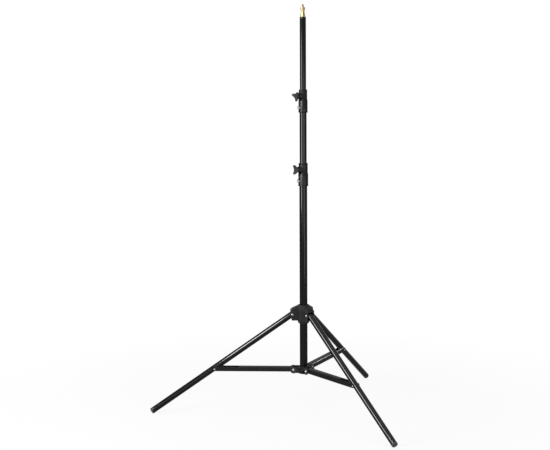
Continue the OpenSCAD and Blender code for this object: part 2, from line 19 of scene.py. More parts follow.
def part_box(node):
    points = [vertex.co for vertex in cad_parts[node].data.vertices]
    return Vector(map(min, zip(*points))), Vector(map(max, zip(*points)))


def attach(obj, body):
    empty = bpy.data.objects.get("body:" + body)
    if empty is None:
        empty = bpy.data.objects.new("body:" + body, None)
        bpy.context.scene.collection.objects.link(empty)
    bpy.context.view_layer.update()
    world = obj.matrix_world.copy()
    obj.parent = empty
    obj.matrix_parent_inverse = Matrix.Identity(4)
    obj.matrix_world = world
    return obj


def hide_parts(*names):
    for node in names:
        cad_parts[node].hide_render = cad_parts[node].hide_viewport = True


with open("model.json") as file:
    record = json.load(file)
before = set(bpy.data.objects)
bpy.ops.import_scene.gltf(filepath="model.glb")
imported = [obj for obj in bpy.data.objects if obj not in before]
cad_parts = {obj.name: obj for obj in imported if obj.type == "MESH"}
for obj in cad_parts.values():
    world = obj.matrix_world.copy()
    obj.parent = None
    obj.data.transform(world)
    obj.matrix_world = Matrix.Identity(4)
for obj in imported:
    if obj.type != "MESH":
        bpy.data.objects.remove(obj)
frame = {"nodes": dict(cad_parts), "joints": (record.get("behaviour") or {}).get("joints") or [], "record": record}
nodes = frame["nodes"]
joints = {joint["name"]: joint for joint in frame["joints"]}
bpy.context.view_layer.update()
scene = bpy.context.scene
scene.view_settings.view_transform = "Standard"
MM = 0.001
print("pieces in the packed model:", len(nodes))

# %% [markdown]
# ## The camera
#
# The photograph was taken from about five metres away with a long lens, from just below the height of the
# mast's top and looking slightly down. The place below was found by matching the feet, rivets and collars
# of the picture.

# %% Camera
IMAGE_WIDTH = 550
FOCAL_PIXELS = 1458.18
SENSOR = 36.0
CAMERA_PLACE = Vector((-0.2964, -5.1586, 1.4147))
HEADING = math.radians(2.1635)
PITCH_DOWN = math.radians(8.0432)
ROLL = math.radians(-0.3084)

camera_data = bpy.data.cameras.new("camera")
camera_data.sensor_width = SENSOR
camera_data.lens = FOCAL_PIXELS * SENSOR / IMAGE_WIDTH
camera = bpy.data.objects.new("camera", camera_data)
scene.collection.objects.link(camera)
camera.matrix_world = (
    Matrix.Translation(CAMERA_PLACE)
    @ Matrix.Rotation(-HEADING, 4, "Z")
    @ Matrix.Rotation(math.pi / 2 - PITCH_DOWN, 4, "X")
    @ Matrix.Rotation(ROLL, 4, "Z")
)
scene.camera = camera
print("lens in mm:", round(camera_data.lens, 2))

# %% [markdown]
# ## Node groups that several finishes share
#
# Real finishes are never one flat colour. Three effects come back on most of them: a fine grain, as on
# powder coat or moulded plastic, long drawn or turned lines, as on tube and turned brass, and a few
# scuffs. Each is built once as a group that puts out only values that change over the surface, and each
# material sets its own scale.

# %% Helpers for node trees
def add_node(tree, kind, **values):
    """Add a node, set its properties by name, and set inputs whose names are given as a dictionary."""
    made = tree.nodes.new(kind)
    for socket, value in values.pop("inputs", {}).items():
        made.inputs[socket].default_value = value
    for name, value in values.items():
        setattr(made, name, value)
    return made


def new_group(name, inputs, outputs):
    """Make a shader node group with float sockets, and one vector input called Vector."""
    tree = bpy.data.node_groups.new(name, "ShaderNodeTree")
    print("shared effect:", name)
    tree.interface.new_socket("Vector", in_out="INPUT", socket_type="NodeSocketVector")
    for socket in inputs:
        tree.interface.new_socket(socket, in_out="INPUT", socket_type="NodeSocketFloat")
    for socket in outputs:
        tree.interface.new_socket(socket, in_out="OUTPUT", socket_type="NodeSocketFloat")
    return tree, tree.nodes.new("NodeGroupInput"), tree.nodes.new("NodeGroupOutput")


# %% Grain: fine lumps for bump, and broad patches for colour
PATCH_SHARE = 0.1


def make_grain_group():
    """Grain is fine noise. Patches is noise a tenth as fine."""
    tree, given, result = new_group("grain", ["Scale"], ["Grain", "Patches"])
    fine = add_node(tree, "ShaderNodeTexNoise", inputs={"Detail": 3.0, "Roughness": 0.6})
    coarse_scale = add_node(tree, "ShaderNodeMath", operation="MULTIPLY")
    coarse_scale.inputs[1].default_value = PATCH_SHARE
    coarse = add_node(tree, "ShaderNodeTexNoise", inputs={"Detail": 4.0, "Roughness": 0.55})
    tree.links.new(given.outputs["Vector"], fine.inputs["Vector"])
    tree.links.new(given.outputs["Vector"], coarse.inputs["Vector"])
    tree.links.new(given.outputs["Scale"], fine.inputs["Scale"])
    tree.links.new(given.outputs["Scale"], coarse_scale.inputs[0])
    tree.links.new(coarse_scale.outputs["Value"], coarse.inputs["Scale"])
    tree.links.new(fine.outputs["Fac"], result.inputs["Grain"])
    tree.links.new(coarse.outputs["Fac"], result.inputs["Patches"])
    return tree


grain_group = make_grain_group()

# %% Lines: noise stretched along one direction
def make_lines_group():
    """Lines is noise whose axes are scaled apart, so that it draws out along the least scaled one."""
    tree, given, result = new_group("lines", ["Across", "Along"], ["Lines"])
    stretch = add_node(tree, "ShaderNodeCombineXYZ")
    product = add_node(tree, "ShaderNodeVectorMath", operation="MULTIPLY")
    noise = add_node(tree, "ShaderNodeTexNoise", inputs={"Scale": 1.0, "Detail": 3.0, "Roughness": 0.65})
    tree.links.new(given.outputs["Across"], stretch.inputs["X"])
    tree.links.new(given.outputs["Along"], stretch.inputs["Y"])
    tree.links.new(given.outputs["Across"], stretch.inputs["Z"])
    tree.links.new(given.outputs["Vector"], product.inputs[0])
    tree.links.new(stretch.outputs["Vector"], product.inputs[1])
    tree.links.new(product.outputs["Vector"], noise.inputs["Vector"])
    tree.links.new(noise.outputs["Fac"], result.inputs["Lines"])
    return tree


lines_group = make_lines_group()

# %% Scuffs: thin marks where a noise crosses a level
BROAD_SHARE = 0.22
MARK_LEVEL, MARK_WIDTH = 0.5, 0.012
PATCH_START, PATCH_FULL = 0.56, 0.68


def make_scuffs_group():
    """Scuffs is a thin band of one noise, kept only in the patches where a broad noise is high."""
    tree, given, result = new_group("scuffs", ["Scale"], ["Scuffs"])
    broad_scale = add_node(tree, "ShaderNodeMath", operation="MULTIPLY")
    broad_scale.inputs[1].default_value = BROAD_SHARE
    marks = add_node(tree, "ShaderNodeTexNoise", inputs={"Detail": 2.0, "Distortion": 0.8})
    broad = add_node(tree, "ShaderNodeTexNoise", inputs={"Detail": 2.0})
    middle = add_node(tree, "ShaderNodeMath", operation="SUBTRACT")
    middle.inputs[1].default_value = MARK_LEVEL
    distance = add_node(tree, "ShaderNodeMath", operation="ABSOLUTE")
    band = {"From Min": 0.0, "From Max": MARK_WIDTH, "To Min": 1.0, "To Max": 0.0}
    thin = add_node(tree, "ShaderNodeMapRange", inputs=band)
    patch = add_node(tree, "ShaderNodeMapRange", inputs={"From Min": PATCH_START, "From Max": PATCH_FULL})
    kept = add_node(tree, "ShaderNodeMath", operation="MULTIPLY")
    tree.links.new(given.outputs["Vector"], marks.inputs["Vector"])
    tree.links.new(given.outputs["Vector"], broad.inputs["Vector"])
    tree.links.new(given.outputs["Scale"], marks.inputs["Scale"])
    tree.links.new(given.outputs["Scale"], broad_scale.inputs[0])
    tree.links.new(broad_scale.outputs["Value"], broad.inputs["Scale"])
    tree.links.new(marks.outputs["Fac"], middle.inputs[0])
    tree.links.new(middle.outputs["Value"], distance.inputs[0])
    tree.links.new(distance.outputs["Value"], thin.inputs["Value"])
    tree.links.new(broad.outputs["Fac"], patch.inputs["Value"])
    tree.links.new(thin.outputs["Result"], kept.inputs[0])
    tree.links.new(patch.outputs["Result"], kept.inputs[1])
    tree.links.new(kept.outputs["Value"], result.inputs["Scuffs"])
    return tree


scuffs_group = make_scuffs_group()

# %% [markdown]
# ## The finishes
#
# Each material keeps its own Principled shader. The groups feed only colour, roughness and bump, and
# what is the same all over, such as the metal's gloss, is set on the shader's own sockets.

# %% One way to lay out a finish
NOISE_LOW, NOISE_HIGH = 0.3, 0.7


def grey(level):
    """A neutral colour."""
    return (level, level, level)


def start_material(name, roughness, **sockets):
    """Make a material with a Principled shader, and set the sockets that are the same all over."""
    material = bpy.data.materials.new(name)
    material.use_nodes = True
    tree = material.node_tree
    shader = tree.nodes["Principled BSDF"]
    shader.inputs["Roughness"].default_value = roughness
    for socket, value in sockets.items():
        shader.inputs[socket.replace("_", " ")].default_value = value
    print("finish:", name)
    return material, tree, shader


def use_group(tree, group, vector, **values):
    """Place a shared group, with its own values, on a vector output."""
    placed = add_node(tree, "ShaderNodeGroup", node_tree=group)
    for socket, value in values.items():
        placed.inputs[socket].default_value = value
    tree.links.new(vector, placed.inputs["Vector"])
    return placed


def mix_colours(tree, factor, low, high):
    """Blend two colours by a factor output. Either colour may be an output of another blend."""
    mix = add_node(tree, "ShaderNodeMix", data_type="RGBA")
    for socket, colour in ((mix.inputs[6], low), (mix.inputs[7], high)):
        if isinstance(colour, tuple):
            socket.default_value = (*colour, 1.0)
        else:
            tree.links.new(colour, socket)
    tree.links.new(factor, mix.inputs[0])
    return mix.outputs[2]


def to_range(tree, value, low, high, start=0.0, end=1.0):
    """Carry a value output from one range to another, held at both ends."""
    spread = add_node(
        tree,
        "ShaderNodeMapRange",
        inputs={"From Min": start, "From Max": end, "To Min": low, "To Max": high},
    )
    tree.links.new(value, spread.inputs["Value"])
    return spread.outputs["Result"]


def vary_roughness(tree, shader, value, smooth, dull):
    """Spread the roughness between two values by a noise output, whose middle range counts."""
    spread = to_range(tree, value, smooth, dull, NOISE_LOW, NOISE_HIGH)
    tree.links.new(spread, shader.inputs["Roughness"])


def add_bump(tree, shader, height, strength, distance):
    """Feed a height output to the shader's normal through a bump node."""
    bump = add_node(tree, "ShaderNodeBump", inputs={"Strength": strength, "Distance": distance})
    tree.links.new(height, bump.inputs["Height"])
    tree.links.new(bump.outputs["Normal"], shader.inputs["Normal"])


def object_coordinates(tree):
    """The piece's own coordinates, in metres."""
    return add_node(tree, "ShaderNodeTexCoord").outputs["Object"]


def surface_coordinates(tree):
    """The piece's UV map, which runs around it and along it in metres."""
    return add_node(tree, "ShaderNodeTexCoord").outputs["UV"]


# %% [markdown]
# ### Black gloss
#
# The tubes, the braces and the collars are dyed black metal with a shine. Black paint under a clear coat
# could do, but it mirrors ever more towards the edges of a tube and draws a pale rim there. A very dark
# metal whose edge tint is held down stays black at the edges, and keeps the narrow streaks in between.

# %% Black gloss on tubes, sheet and collars: faint drawn lines, and hairline scuffs
LINES_ACROSS, LINES_ALONG = 2600.0, 9.0
GLOSS_PATCHES = 300.0
SCUFF_TONE, SCUFF_SHARE = 0.045, 0.3


def make_black_gloss(name, coordinates, dark, light, edge, smooth, dull, scuff_scale):
    """Dyed black metal: a faint mirror that darkens towards its edges, with fine lines along the surface."""
    material, tree, shader = start_material(name, smooth, Metallic=1.0, Specular_Tint=(*grey(edge), 1.0))
    vector = coordinates(tree)
    lines = use_group(tree, lines_group, vector, Across=LINES_ACROSS, Along=LINES_ALONG)
    scuffs = use_group(tree, scuffs_group, vector, Scale=scuff_scale)
    grain = use_group(tree, grain_group, vector, Scale=GLOSS_PATCHES)
    base = mix_colours(tree, grain.outputs["Patches"], grey(dark), grey(light))
    scuffed = to_range(tree, scuffs.outputs["Scuffs"], 0.0, SCUFF_SHARE)
    colour = mix_colours(tree, scuffed, base, grey(SCUFF_TONE))
    tree.links.new(colour, shader.inputs["Base Color"])
    vary_roughness(tree, shader, lines.outputs["Lines"], smooth, dull)
    add_bump(tree, shader, lines.outputs["Lines"], strength=0.04, distance=0.02 * MM)
    return material


tube_black = {"coordinates": surface_coordinates, "dark": 0.0125, "light": 0.0155, "scuff_scale": 42.0}
black_tube = make_black_gloss("black_tube", **tube_black, edge=0.4, smooth=0.07, dull=0.12)
leg_tube = make_black_gloss("leg_tube", **tube_black, edge=0.62, smooth=0.06, dull=0.1)
sheet_black = {"coordinates": object_coordinates, "dark": 0.014, "light": 0.02, "scuff_scale": 90.0}
black_sheet = make_black_gloss("black_sheet", **sheet_black, edge=0.55, smooth=0.3, dull=0.42)
collar_black = {"coordinates": object_coordinates, "dark": 0.013, "light": 0.02, "scuff_scale": 120.0}
collar_gloss = make_black_gloss("collar_gloss", **collar_black, edge=0.4, smooth=0.32, dull=0.44)

# %% [markdown]
# ### Powder coat
#
# The shoulder and the hub are castings under a baked satin coat, pebbled like the peel of an orange. One
# dark colour with a bump would hide their form, since black shows little shade. So Ambient Occlusion
# darkens the hollows as painted shade, and Geometry's Pointiness pales the edges, partly as wear and partly as a
# painted highlight.

# %% Powder coat on castings, with an orange-peel surface
COAT_DARK, COAT_LIGHT = 0.011, 0.019
# Painted shade: the dark tone that Ambient Occlusion lays into hollows and gaps between parts.
PAINTED_SHADE_TONE, PAINTED_SHADE_REACH = 0.002, 30.0 * MM
OPEN_NONE, OPEN_FULL = 0.4, 0.9
# Pale edges from Pointiness: partly wear, partly a painted highlight where edges would catch light.
WEAR_AND_HIGHLIGHT_TONE, WEAR_AND_HIGHLIGHT_SHARE = 0.085, 0.8
BEND_START, BEND_FULL = 0.51, 0.56
COAT_SCUFF_TONE, COAT_SCUFF_SHARE = 0.07, 0.35


def make_powder_coat():
    """Satin near-black, pebbled finely: painted shade in hollows, and paler edges that are partly wear and partly
    a painted highlight, with scuffs.
    """
    material, tree, shader = start_material("powder_coat", 0.5, Specular_IOR_Level=0.06)
    vector = object_coordinates(tree)
    grain = use_group(tree, grain_group, vector, Scale=1500.0)
    scuffs = use_group(tree, scuffs_group, vector, Scale=120.0)
    base = mix_colours(tree, grain.outputs["Patches"], grey(COAT_DARK), grey(COAT_LIGHT))
    # Painted shade: the colour darkens where Ambient Occlusion finds hollows, where shade would fall.
    shade_occlusion = add_node(tree, "ShaderNodeAmbientOcclusion", samples=8, inputs={"Distance": PAINTED_SHADE_REACH})
    painted_shade_share = to_range(tree, shade_occlusion.outputs["AO"], 1.0, 0.0, OPEN_NONE, OPEN_FULL)
    painted_shade_colour = mix_colours(tree, painted_shade_share, base, grey(PAINTED_SHADE_TONE))
    # Pointiness pales the convex edges, partly as wear and partly as a painted highlight.
    bend = add_node(tree, "ShaderNodeNewGeometry").outputs["Pointiness"]
    wear_and_highlight_share = to_range(tree, bend, 0.0, WEAR_AND_HIGHLIGHT_SHARE, BEND_START, BEND_FULL)
    worn = mix_colours(tree, wear_and_highlight_share, painted_shade_colour, grey(WEAR_AND_HIGHLIGHT_TONE))
    scuffed = to_range(tree, scuffs.outputs["Scuffs"], 0.0, COAT_SCUFF_SHARE)
    tree.links.new(mix_colours(tree, scuffed, worn, grey(COAT_SCUFF_TONE)), shader.inputs["Base Color"])
    vary_roughness(tree, shader, grain.outputs["Patches"], smooth=0.4, dull=0.58)
    add_bump(tree, shader, grain.outputs["Grain"], strength=0.35, distance=0.12 * MM)
    return material


powder_coat = make_powder_coat()

# %% [markdown]
# ### Moulded plastic
#
# The knobs are black plastic with the fine grain of their mould, the plugs are a duller black, and the
# guides that the tubes run in are bare nylon. Each could have a material of its own from scratch, but they
# differ only in tone, gloss and the size of the grain, so one function makes all three.

# %% Moulded plastic, for the knobs, the plugs and the nylon guides
SHINE_BELOW, SHINE_ABOVE = 0.08, 0.1


def make_moulded_plastic(name, dark, light, roughness, scale):
    """Satin plastic with a spark-eroded grain and a worn shine in patches."""
    material, tree, shader = start_material(name, roughness, Specular_IOR_Level=0.2)
    grain = use_group(tree, grain_group, object_coordinates(tree), Scale=scale)
    tree.links.new(mix_colours(tree, grain.outputs["Patches"], dark, light), shader.inputs["Base Color"])
    vary_roughness(tree, shader, grain.outputs["Patches"], roughness - SHINE_BELOW, roughness + SHINE_ABOVE)
    add_bump(tree, shader, grain.outputs["Grain"], strength=0.3, distance=0.08 * MM)
    return material


knob_black = {"dark": (0.007, 0.007, 0.0075), "light": (0.013, 0.013, 0.0135)}
knob_plastic = make_moulded_plastic("knob_plastic", **knob_black, roughness=0.42, scale=2200.0)
plug_black = {"dark": grey(0.01), "light": grey(0.02)}
plug_plastic = make_moulded_plastic("plug_plastic", **plug_black, roughness=0.55, scale=1600.0)
nylon_white = {"dark": (0.55, 0.54, 0.49), "light": (0.68, 0.67, 0.62)}
natural_nylon = make_moulded_plastic("natural_nylon", **nylon_white, roughness=0.5, scale=1200.0)

# %% [markdown]
# ### Bare metal
#
# Screws, rivets and studs are plated steel, and the spigot is turned brass. Bare metal is all mirror, so
# its colour is only the tint that it gives to what it mirrors. With one even roughness it would look like
# chrome, so tone and roughness change in small patches.

# %% Plated steel and turned brass
METAL_LINES = 350.0
METAL_GRAIN = 1500.0


def make_bright_metal(name, dark, light, edge, roughness):
    """Bare metal whose roughness and tint change in small patches, with a fine grain of machining."""
    material, tree, shader = start_material(name, roughness, Metallic=1.0, Specular_Tint=(*edge, 1.0))
    vector = object_coordinates(tree)
    grain = use_group(tree, grain_group, vector, Scale=METAL_GRAIN)
    lines = use_group(tree, lines_group, vector, Across=METAL_LINES, Along=METAL_LINES)
    tree.links.new(mix_colours(tree, lines.outputs["Lines"], dark, light), shader.inputs["Base Color"])
    vary_roughness(tree, shader, grain.outputs["Patches"], roughness - SHINE_BELOW, roughness + SHINE_ABOVE)
    add_bump(tree, shader, grain.outputs["Grain"], strength=0.1, distance=0.03 * MM)
    return material


steel_tint = {"dark": (0.15, 0.15, 0.155), "light": (0.25, 0.25, 0.255), "edge": grey(0.5)}
bright_steel = make_bright_metal("bright_steel", **steel_tint, roughness=0.3)
brass_tint = {"dark": (0.18, 0.138, 0.066), "light": (0.28, 0.22, 0.112), "edge": (0.45, 0.36, 0.22)}
turned_brass = make_bright_metal("turned_brass", **brass_tint, roughness=0.24)

# %% [markdown]
# ### Rubber
#
# The feet are black rubber, which hardly shines and picks up dust. Dust could be a second material on the
# sole, but it has no sharp border, so the broad patches of the grain blend it in.

# %% Rubber of the feet
RUBBER, DUST = (0.009, 0.009, 0.009), (0.045, 0.043, 0.04)
DUST_SHARE, DUST_START, DUST_FULL = 0.4, 0.5, 0.75


def make_foot_rubber():
    """Dull black rubber, dusted grey in patches where it has stood on floors."""
    material, tree, shader = start_material("foot_rubber", 0.75)
    grain = use_group(tree, grain_group, object_coordinates(tree), Scale=1800.0)
    dusted = to_range(tree, grain.outputs["Patches"], 0.0, DUST_SHARE, DUST_START, DUST_FULL)
    tree.links.new(mix_colours(tree, dusted, RUBBER, DUST), shader.inputs["Base Color"])
    vary_roughness(tree, shader, grain.outputs["Patches"], smooth=0.62, dull=0.85)
    add_bump(tree, shader, grain.outputs["Grain"], strength=0.4, distance=0.1 * MM)
    return material


foot_rubber = make_foot_rubber()

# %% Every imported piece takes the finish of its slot
finish_of_slot = {
    "black_tube": black_tube,
    "dark_casting": powder_coat,
    "black_sheet": black_sheet,
    "knob_plastic": knob_plastic,
    "plug_plastic": plug_plastic,
    "nylon": natural_nylon,
    "bright_steel": bright_steel,
    "brass": turned_brass,
    "foot_rubber": foot_rubber,
}
slot_of_node = {entry["node"]: entry["material_slot"] for entry in frame["record"]["subparts"]}
body_of_node = {
    name: body for body, members in frame["record"]["behaviour"]["bodies"].items() for name in members
}
for name, piece in nodes.items():
    piece.data.materials.clear()
    piece.data.materials.append(finish_of_slot[slot_of_node[name]])
print("finished pieces:", len(nodes))

# %% [markdown]
# ## Surfaces on a grid
#
# Most of this stand is turned: tubes, feet, the spigot. Blender could spin a curve, but a grid of
# points worked out with numpy is as short and gives a clean UV map for free. The grid's rows run along
# the axis and its columns run around it, so a drawn line on the tube is simply a line of constant
# column.

# %% Meshes from arrays
TOUCHING = 0.002 * MM


def put_mesh(name, points, faces):
    """Make a mesh object from an array of points and an array of faces."""
    mesh = bpy.data.meshes.new(name)
    mesh.from_pydata(np.asarray(points).tolist(), [], np.asarray(faces).tolist())
    mesh.update()
    made = bpy.data.objects.new(name, mesh)
    scene.collection.objects.link(made)
    return made


def shade_smooth(made):
    """Mark every face as smooth."""
    made.data.polygons.foreach_set("use_smooth", np.ones(len(made.data.polygons), bool))


def close_up(made, flat_angle=None):
    """Merge points that lie together, and faces within a flat angle if one is given. Face them outwards."""
    work = bmesh.new()
    work.from_mesh(made.data)
    bmesh.ops.remove_doubles(work, verts=work.verts, dist=TOUCHING)
    if flat_angle is not None:
        bmesh.ops.dissolve_limit(work, angle_limit=flat_angle, verts=work.verts, edges=work.edges)
    bmesh.ops.recalc_face_normals(work, faces=work.faces)
    work.to_mesh(made.data)
    work.free()
    shade_smooth(made)


def dress(made, node, finish):
    """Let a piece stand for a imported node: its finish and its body."""
    made.data.materials.append(finish)
    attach(made, body_of_node[node])
    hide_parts(node)
    print(made.name, "faces:", len(made.data.polygons))


# %% A profile carried around an axis
COLUMNS = 96


def grid_corners(rows, columns, ring):
    """Row and column of every quad's corners. The last column meets the first, as do the rows in a ring."""
    row = np.arange(rows if ring else rows - 1)[:, None, None] + np.array([0, 0, 1, 1])
    column = np.arange(columns)[None, :, None] + np.array([0, 1, 1, 0])
    return np.broadcast_arrays(row, column)


def turned(name, radius, along, origin, axis, side, ring=False):
    """Carry a profile once around an axis.

    A point is the origin, plus its distance along the axis, plus its radius times a direction that turns
    evenly from the side direction. Radius and distance hold one value per row, or one per row and column.
    The UV map is the arc around the piece and the distance along it, both in metres.
    """
    axis, side = np.asarray(axis, float), np.asarray(side, float)
    radius, along = (np.asarray(a, float).reshape(len(a), -1) for a in (radius, along))
    turn = np.arange(COLUMNS) * 2 * math.pi / COLUMNS
    spoke = np.cos(turn)[:, None] * side + np.sin(turn)[:, None] * np.cross(axis, side)
    points = np.asarray(origin) + along[..., None] * axis + radius[..., None] * spoke
    rows = len(radius)
    row, column = grid_corners(rows, COLUMNS, ring)
    faces = (row % rows) * COLUMNS + column % COLUMNS
    made = put_mesh(name, points.reshape(-1, 3), faces.reshape(-1, 4))
    arc = column * radius.max() * 2 * math.pi / COLUMNS
    height = np.broadcast_to(along, (rows, COLUMNS))[row % rows, column % COLUMNS]
    uv_map = made.data.uv_layers.new(name="surface")
    uv_map.data.foreach_set("uv", np.stack([arc, height], axis=-1).ravel())
    close_up(made)
    return made


# %% [markdown]
# ## Tubes
#
# Each tube is drawn aluminium with its ends broken. Its outline is a thin loop, out along the outside
# and back along the bore with a half-round lip at each end, and carrying that loop around the axis
# gives a closed wall.

# %% The three mast tubes
TUBE_WALL = 1.2 * MM
HOLD = 4.0 * MM
LIP_ROWS = 7
UP = np.array([0.0, 0.0, 1.0])
ALONG_X = np.array([1.0, 0.0, 0.0])
ALONG_Y = np.array([0.0, 1.0, 0.0])


def tube_outline(outer, start, end):
    """Closed loop of radius and distance for a tube wall whose ends are half circles as wide as the wall."""
    half = TUBE_WALL / 2
    bore = outer - TUBE_WALL
    turn = np.linspace(0.0, math.pi, LIP_ROWS)
    lip = outer - half + half * np.cos(turn)
    rise = half * np.sin(turn)
    radius = np.concatenate([[outer], lip, [bore, bore], lip[::-1], [outer]])
    top, foot = end - HOLD, start + HOLD
    along = np.concatenate([[top], end - half + rise, [top, foot], start + half - rise[::-1], [foot]])
    return radius, along


for name in ("lower_tube", "middle_tube", "top_tube"):
    low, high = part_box(name)
    radius, along = tube_outline((high[0] - low[0]) / 2, low[2], high[2])
    dress(turned(name + "_wall", radius, along, np.zeros(3), UP, ALONG_X, ring=True), name, black_tube)

# %% The three legs, each down from its pivot
SIDES = ("left", "front", "rear")
LEG_ANGLE = math.radians(55.45)
LEG_LENGTH = 622.0 * MM
LEG_TOP = 8.0 * MM
LEG_RADIUS = 11.0 * MM
FOOT_HEIGHT = 8.0 * MM


def leg_frame(side):
    """Pivot of a leg, the direction down along it and the direction of its hinge."""
    joint = joints[side + "_leg_fold"]
    pivot = np.array(joint["pos_m"])
    hinge = np.array(joint["axis"])
    out = np.cross(hinge, UP)
    return pivot, out * math.sin(LEG_ANGLE) - UP * math.cos(LEG_ANGLE), hinge


radius, along = tube_outline(LEG_RADIUS, -LEG_TOP, LEG_LENGTH - FOOT_HEIGHT)
for side in SIDES:
    pivot, down, hinge = leg_frame(side)
    node = side + "_leg_tube"
    dress(turned(node + "_wall", radius, along, pivot, down, hinge, ring=True), node, leg_tube)

# %% [markdown]
# ## Feet
#
# A foot is a rubber plug pushed into the leg's end. What shows is a short cap of the tube's own width
# with two fine grooves and a round edge, so its outline is one line from the stem's centre to the
# sole's centre.

# %% Three rubber feet
FOOT_ROUND = 3.0 * MM
FOOT_STEM = 16.0 * MM
STEM_RADIUS = 9.5 * MM
GROOVE_DEPTH = 0.4 * MM
GROOVE_HALF = 0.6 * MM
FIRST_GROOVE, SECOND_GROOVE = 1.2 * MM, 3.3 * MM
GROOVE_ROWS, SOLE_ROWS = 9, 10


def foot_outline():
    """Outline of stem, cap and sole. A groove is a cosine dip, and the sole's edge is a quarter circle."""
    seat = LEG_LENGTH - FOOT_HEIGHT
    wave = np.linspace(-1.0, 1.0, GROOVE_ROWS)
    dip = LEG_RADIUS - GROOVE_DEPTH * (0.5 + 0.5 * np.cos(math.pi * wave))
    turn = np.linspace(0.0, math.pi / 2, SOLE_ROWS)
    edge = LEG_RADIUS - FOOT_ROUND + FOOT_ROUND * np.cos(turn)
    edge_along = LEG_LENGTH - FOOT_ROUND + FOOT_ROUND * np.sin(turn)
    shelf = LEG_RADIUS - GROOVE_DEPTH
    radius = np.concatenate([[0.0, STEM_RADIUS, STEM_RADIUS, shelf], dip, dip, edge, [0.0]])
    along = np.concatenate(
        [
            [seat - FOOT_STEM, seat - FOOT_STEM, seat, seat],
            seat + FIRST_GROOVE + GROOVE_HALF * wave,
            seat + SECOND_GROOVE + GROOVE_HALF * wave,
            edge_along,
            [LEG_LENGTH],
        ]
    )
    return radius, along


radius, along = foot_outline()
for side in SIDES:
    pivot, down, hinge = leg_frame(side)
    node = side + "_leg_foot"
    dress(turned(node + "_cap", radius, along, pivot, down, hinge), node, foot_rubber)

# %% [markdown]
# ## Spigot
#
# The spigot is turned from brass bar: two lands with a waist that the lamp's screw grips, and a
# threaded tip. The thread is a ridge that climbs one pitch for each turn, so the tip's radius is a
# triangle wave of height less angle.

# %% Brass spigot with its thread
SPIGOT_LENGTH, TIP_LENGTH, STEM_DEPTH = 33.5 * MM, 10.5 * MM, 20.0 * MM
SPIGOT_ABOVE = SPIGOT_LENGTH + TIP_LENGTH
LAND, WAIST, TIP, STEM = 7.95 * MM, 6.3 * MM, 3.175 * MM, 6.0 * MM
WAIST_FOOT, WAIST_TOP, WAIST_FLANK = 10.0 * MM, 25.0 * MM, 2.2 * MM
FOOT_EDGE, TOP_EDGE = 0.4 * MM, 0.8 * MM
PITCH, THREAD_DEPTH, FLAT_CREST = 1.27 * MM, 0.62 * MM, 1.25
THREAD_FOOT, THREAD_TOP = SPIGOT_LENGTH + 0.1 * MM, SPIGOT_ABOVE - 0.4 * MM
CAP_FOOT = SPIGOT_ABOVE - 0.2 * MM
FLANK_ROWS, BROKEN_ROWS, ROWS_PER_PITCH = 9, 5, 10


def spigot_outline():
    """Outline below the thread: stem, lower land, waist with cosine flanks, upper land, broken edges."""
    share = np.linspace(0.0, 1.0, FLANK_ROWS)
    ease = 0.5 - 0.5 * np.cos(math.pi * share)
    quarter = np.linspace(0.0, math.pi / 2, BROKEN_ROWS)
    edge = np.sin(quarter)
    drop = 1.0 - np.cos(quarter)
    radius = np.concatenate(
        [
            [0.0, STEM, STEM],
            LAND - FOOT_EDGE * (1.0 - edge),
            LAND + (WAIST - LAND) * ease,
            WAIST + (LAND - WAIST) * ease,
            LAND - TOP_EDGE * drop,
            [TIP - THREAD_DEPTH],
        ]
    )
    along = np.concatenate(
        [
            [-STEM_DEPTH, -STEM_DEPTH, 0.0],
            FOOT_EDGE * drop,
            WAIST_FOOT + WAIST_FLANK * share,
            WAIST_TOP - WAIST_FLANK * (1.0 - share),
            SPIGOT_LENGTH - TOP_EDGE * (1.0 - edge),
            [SPIGOT_LENGTH],
        ]
    )
    return radius, along


def thread_grid():
    """Radius over height and angle: the tip's radius less the thread's depth times a triangle wave.

    The wave is of the height in pitches less the angle in turns. Its crests are cut flat, and it runs out
    at the top.
    """
    rows = int((THREAD_TOP - THREAD_FOOT) / PITCH * ROWS_PER_PITCH)
    height = np.linspace(THREAD_FOOT, THREAD_TOP, rows)[:, None]
    turn = np.arange(COLUMNS)[None, :] / COLUMNS
    wave = np.abs(2.0 * ((height / PITCH - turn) % 1.0) - 1.0)
    runout = np.clip((THREAD_TOP - height) / PITCH, 0.0, 1.0)
    radius = TIP - THREAD_DEPTH * (1.0 - np.clip(FLAT_CREST * wave, 0.0, 1.0) * runout)
    return radius, np.broadcast_to(height, radius.shape)


def all_around(values):
    """One value per row, repeated for each column."""
    return np.tile(np.asarray(values)[:, None], COLUMNS)


low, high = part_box("spigot")
spigot_foot = np.array([0.0, 0.0, high[2] - SPIGOT_ABOVE])
below_radius, below_along = spigot_outline()
thread_radius, thread_along = thread_grid()
cap_radius = [TIP - THREAD_DEPTH, TIP - 2 * THREAD_DEPTH, 0.0]
cap_along = [CAP_FOOT, SPIGOT_ABOVE, SPIGOT_ABOVE]
spigot_radius = np.concatenate([all_around(below_radius), thread_radius, all_around(cap_radius)])
spigot_along = np.concatenate([all_around(below_along), thread_along, all_around(cap_along)])
spigot = turned("brass_spigot", spigot_radius, spigot_along, spigot_foot, UP, ALONG_X)
dress(spigot, "spigot", turned_brass)

# %% The cross pin that holds the spigot, with chamfered ends under the top tube's wall
PIN_RADIUS, PIN_END = 2.0 * MM, 0.4 * MM
low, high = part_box("spigot_pin")
pin_half = (high[1] - low[1]) / 2
pin_radius = [0.0, PIN_RADIUS - PIN_END, PIN_RADIUS, PIN_RADIUS, PIN_RADIUS - PIN_END, 0.0]
pin_along = [-pin_half, -pin_half, PIN_END - pin_half, pin_half - PIN_END, pin_half, pin_half]
pin = turned("chamfered_pin", pin_radius, pin_along, np.mean([low, high], axis=0), ALONG_Y, UP)
dress(pin, "spigot_pin", bright_steel)

